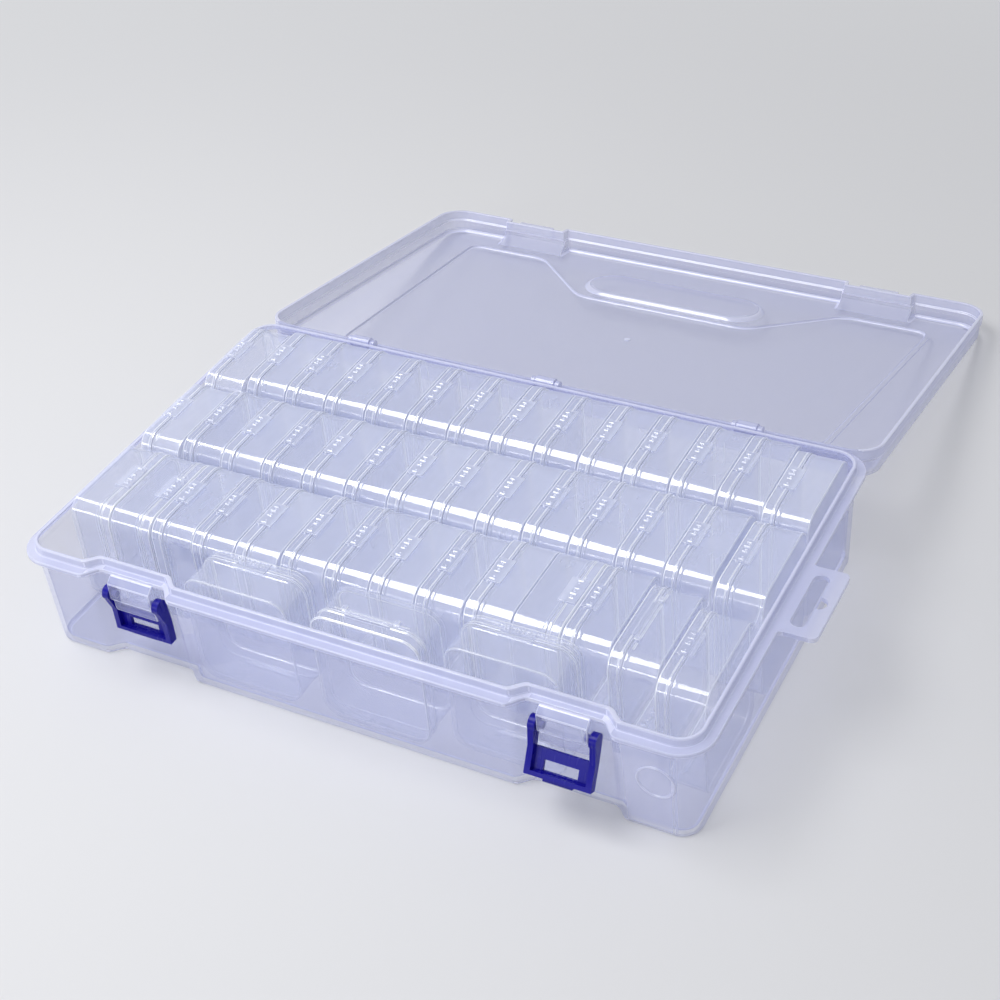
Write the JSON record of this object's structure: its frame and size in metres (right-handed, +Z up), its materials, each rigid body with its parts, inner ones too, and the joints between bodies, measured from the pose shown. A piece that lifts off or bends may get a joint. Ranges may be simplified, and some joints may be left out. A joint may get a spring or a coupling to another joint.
{
  "type": "diamond painting storage case",
  "caption": "Shallow clear case with a hinged lid, swinging blue latches and a hang tab, packed with upright clear flip-top boxes for small beads.",
  "frame": {"origin": "centre of the tray's underside", "axes": "+Z up, +X to the right along the case with the hang tab at its +X end, -Y towards the latches, the lid thrown back towards +Y"},
  "size_m": [0.3166, 0.3753, 0.0576],
  "materials": {
    "clear_plastic": "milky see-through polypropylene, satin gloss",
    "blue_plastic": "opaque royal blue, smooth moulded gloss"
  },
  "bodies": {
    "case_base": {"case_base": "clear_plastic"},
    "case_lid": {"case_lid": "clear_plastic"},
    "latch_left": {"latch_left": "blue_plastic"},
    "latch_right": {"latch_right": "blue_plastic"},
    "back_box_1": {"back_box_1": "clear_plastic"},
    "back_box_2": {"back_box_2": "clear_plastic"},
    "back_box_3": {"back_box_3": "clear_plastic"},
    "back_box_4": {"back_box_4": "clear_plastic"},
    "back_box_5": {"back_box_5": "clear_plastic"},
    "back_box_6": {"back_box_6": "clear_plastic"},
    "back_box_7": {"back_box_7": "clear_plastic"},
    "back_box_8": {"back_box_8": "clear_plastic"},
    "back_box_9": {"back_box_9": "clear_plastic"},
    "back_box_10": {"back_box_10": "clear_plastic"},
    "back_box_11": {"back_box_11": "clear_plastic"},
    "back_box_12": {"back_box_12": "clear_plastic"},
    "back_box_13": {"back_box_13": "clear_plastic"},
    "back_box_14": {"back_box_14": "clear_plastic"},
    "middle_box_1": {"middle_box_1": "clear_plastic"},
    "middle_box_2": {"middle_box_2": "clear_plastic"},
    "middle_box_3": {"middle_box_3": "clear_plastic"},
    "middle_box_4": {"middle_box_4": "clear_plastic"},
    "middle_box_5": {"middle_box_5": "clear_plastic"},
    "middle_box_6": {"middle_box_6": "clear_plastic"},
    "middle_box_7": {"middle_box_7": "clear_plastic"},
    "middle_box_8": {"middle_box_8": "clear_plastic"},
    "middle_box_9": {"middle_box_9": "clear_plastic"},
    "middle_box_10": {"middle_box_10": "clear_plastic"},
    "middle_box_11": {"middle_box_11": "clear_plastic"},
    "middle_box_12": {"middle_box_12": "clear_plastic"},
    "middle_box_13": {"middle_box_13": "clear_plastic"},
    "middle_box_14": {"middle_box_14": "clear_plastic"},
    "front_box_1": {"front_box_1": "clear_plastic"},
    "front_box_2": {"front_box_2": "clear_plastic"},
    "front_box_3": {"front_box_3": "clear_plastic"},
    "front_box_4": {"front_box_4": "clear_plastic"},
    "front_box_5": {"front_box_5": "clear_plastic"},
    "front_box_6": {"front_box_6": "clear_plastic"},
    "front_box_7": {"front_box_7": "clear_plastic"},
    "front_box_8": {"front_box_8": "clear_plastic"},
    "front_box_9": {"front_box_9": "clear_plastic"},
    "front_box_10": {"front_box_10": "clear_plastic"},
    "front_box_11": {"front_box_11": "clear_plastic"},
    "front_box_12": {"front_box_12_container": "clear_plastic", "front_box_12_lid": "clear_plastic"},
    "front_box_13": {"front_box_13_container": "clear_plastic", "front_box_13_lid": "clear_plastic"},
    "front_box_14": {"front_box_14_container": "clear_plastic", "front_box_14_lid": "clear_plastic"},
    "cross_box_1": {"cross_box_1_container": "clear_plastic", "cross_box_1_lid": "clear_plastic"},
    "cross_box_2": {"cross_box_2_container": "clear_plastic", "cross_box_2_lid": "clear_plastic"},
    "cross_box_3": {"cross_box_3_container": "clear_plastic", "cross_box_3_lid": "clear_plastic"}
  },
  "joints": [
    {"name": "lid_hinge", "type": "hinge", "parent": "case_base", "child": "case_lid", "pos_m": [0, 0.0941, 0.0486], "axis": [1, 0, 0], "range_deg": [0, 191.18]},
    {"name": "latch_left_pivot", "type": "hinge", "parent": "case_base", "child": "latch_left", "pos_m": [-0.0957, -0.0885, 0.0383], "axis": [-1, 0, 0], "range_deg": [0, 180]},
    {"name": "latch_right_pivot", "type": "hinge", "parent": "case_base", "child": "latch_right", "pos_m": [0.0957, -0.0885, 0.0383], "axis": [-1, 0, 0], "range_deg": [-28, 152]},
    {"name": "lift_back_box_1", "type": "slide", "parent": "case_base", "child": "back_box_1", "axis": [0, 0, -1], "range_m": [-0.058, 0]},
    {"name": "lift_back_box_2", "type": "slide", "parent": "case_base", "child": "back_box_2", "axis": [0, 0, -1], "range_m": [-0.058, 0]},
    {"name": "lift_back_box_3", "type": "slide", "parent": "case_base", "child": "back_box_3", "axis": [0, 0, -1], "range_m": [-0.058, 0]},
    {"name": "lift_back_box_4", "type": "slide", "parent": "case_base", "child": "back_box_4", "axis": [0, 0, -1], "range_m": [-0.058, 0]},
    {"name": "lift_back_box_5", "type": "slide", "parent": "case_base", "child": "back_box_5", "axis": [0, 0, -1], "range_m": [-0.058, 0]},
    {"name": "lift_back_box_6", "type": "slide", "parent": "case_base", "child": "back_box_6", "axis": [0, 0, -1], "range_m": [-0.058, 0]},
    {"name": "lift_back_box_7", "type": "slide", "parent": "case_base", "child": "back_box_7", "axis": [0, 0, -1], "range_m": [-0.058, 0]},
    {"name": "lift_back_box_8", "type": "slide", "parent": "case_base", "child": "back_box_8", "axis": [0, 0, -1], "range_m": [-0.058, 0]},
    {"name": "lift_back_box_9", "type": "slide", "parent": "case_base", "child": "back_box_9", "axis": [0, 0, -1], "range_m": [-0.058, 0]},
    {"name": "lift_back_box_10", "type": "slide", "parent": "case_base", "child": "back_box_10", "axis": [0, 0, -1], "range_m": [-0.058, 0]},
    {"name": "lift_back_box_11", "type": "slide", "parent": "case_base", "child": "back_box_11", "axis": [0, 0, -1], "range_m": [-0.058, 0]},
    {"name": "lift_back_box_12", "type": "slide", "parent": "case_base", "child": "back_box_12", "axis": [0, 0, -1], "range_m": [-0.058, 0]},
    {"name": "lift_back_box_13", "type": "slide", "parent": "case_base", "child": "back_box_13", "axis": [0, 0, -1], "range_m": [-0.058, 0]},
    {"name": "lift_back_box_14", "type": "slide", "parent": "case_base", "child": "back_box_14", "axis": [0, 0, -1], "range_m": [-0.058, 0]},
    {"name": "lift_middle_box_1", "type": "slide", "parent": "case_base", "child": "middle_box_1", "axis": [0, 0, -1], "range_m": [-0.058, 0]},
    {"name": "lift_middle_box_2", "type": "slide", "parent": "case_base", "child": "middle_box_2", "axis": [0, 0, -1], "range_m": [-0.058, 0]},
    {"name": "lift_middle_box_3", "type": "slide", "parent": "case_base", "child": "middle_box_3", "axis": [0, 0, -1], "range_m": [-0.058, 0]},
    {"name": "lift_middle_box_4", "type": "slide", "parent": "case_base", "child": "middle_box_4", "axis": [0, 0, -1], "range_m": [-0.058, 0]},
    {"name": "lift_middle_box_5", "type": "slide", "parent": "case_base", "child": "middle_box_5", "axis": [0, 0, -1], "range_m": [-0.058, 0]},
    {"name": "lift_middle_box_6", "type": "slide", "parent": "case_base", "child": "middle_box_6", "axis": [0, 0, -1], "range_m": [-0.058, 0]},
    {"name": "lift_middle_box_7", "type": "slide", "parent": "case_base", "child": "middle_box_7", "axis": [0, 0, -1], "range_m": [-0.058, 0]},
    {"name": "lift_middle_box_8", "type": "slide", "parent": "case_base", "child": "middle_box_8", "axis": [0, 0, -1], "range_m": [-0.058, 0]},
    {"name": "lift_middle_box_9", "type": "slide", "parent": "case_base", "child": "middle_box_9", "axis": [0, 0, -1], "range_m": [-0.058, 0]},
    {"name": "lift_middle_box_10", "type": "slide", "parent": "case_base", "child": "middle_box_10", "axis": [0, 0, -1], "range_m": [-0.058, 0]},
    {"name": "lift_middle_box_11", "type": "slide", "parent": "case_base", "child": "middle_box_11", "axis": [0, 0, -1], "range_m": [-0.058, 0]},
    {"name": "lift_middle_box_12", "type": "slide", "parent": "case_base", "child": "middle_box_12", "axis": [0, 0, -1], "range_m": [-0.058, 0]},
    {"name": "lift_middle_box_13", "type": "slide", "parent": "case_base", "child": "middle_box_13", "axis": [0, 0, -1], "range_m": [-0.058, 0]},
    {"name": "lift_middle_box_14", "type": "slide", "parent": "case_base", "child": "middle_box_14", "axis": [0, 0, -1], "range_m": [-0.058, 0]},
    {"name": "lift_front_box_1", "type": "slide", "parent": "case_base", "child": "front_box_1", "axis": [0, 0, -1], "range_m": [-0.058, 0]},
    {"name": "lift_front_box_2", "type": "slide", "parent": "case_base", "child": "front_box_2", "axis": [0, 0, -1], "range_m": [-0.058, 0]},
    {"name": "lift_front_box_3", "type": "slide", "parent": "case_base", "child": "front_box_3", "axis": [0, 0, -1], "range_m": [-0.058, 0]},
    {"name": "lift_front_box_4", "type": "slide", "parent": "case_base", "child": "front_box_4", "axis": [0, 0, -1], "range_m": [-0.058, 0]},
    {"name": "lift_front_box_5", "type": "slide", "parent": "case_base", "child": "front_box_5", "axis": [0, 0, -1], "range_m": [-0.058, 0]},
    {"name": "lift_front_box_6", "type": "slide", "parent": "case_base", "child": "front_box_6", "axis": [0, 0, -1], "range_m": [-0.058, 0]},
    {"name": "lift_front_box_7", "type": "slide", "parent": "case_base", "child": "front_box_7", "axis": [0, 0, -1], "range_m": [-0.058, 0]},
    {"name": "lift_front_box_8", "type": "slide", "parent": "case_base", "child": "front_box_8", "axis": [0, 0, -1], "range_m": [-0.058, 0]},
    {"name": "lift_front_box_9", "type": "slide", "parent": "case_base", "child": "front_box_9", "axis": [0, 0, -1], "range_m": [-0.058, 0]},
    {"name": "lift_front_box_10", "type": "slide", "parent": "case_base", "child": "front_box_10", "axis": [0, 0, -1], "range_m": [-0.058, 0]},
    {"name": "lift_front_box_11", "type": "slide", "parent": "case_base", "child": "front_box_11", "axis": [0, 0, -1], "range_m": [-0.058, 0]},
    {"name": "lift_front_box_12", "type": "slide", "parent": "case_base", "child": "front_box_12", "axis": [0, 0, -1], "range_m": [-0.058, 0]},
    {"name": "lift_front_box_13", "type": "slide", "parent": "case_base", "child": "front_box_13", "axis": [0, 0, -1], "range_m": [-0.058, 0]},
    {"name": "lift_front_box_14", "type": "slide", "parent": "case_base", "child": "front_box_14", "axis": [0, 0, -1], "range_m": [-0.058, 0]},
    {"name": "lift_cross_box_1", "type": "slide", "parent": "case_base", "child": "cross_box_1", "axis": [0, 0, -1], "range_m": [-0.058, 0]},
    {"name": "lift_cross_box_2", "type": "slide", "parent": "case_base", "child": "cross_box_2", "axis": [0, 0, -1], "range_m": [-0.058, 0]},
    {"name": "lift_cross_box_3", "type": "slide", "parent": "case_base", "child": "cross_box_3", "axis": [0, 0, -1], "range_m": [-0.058, 0]}
  ]
}
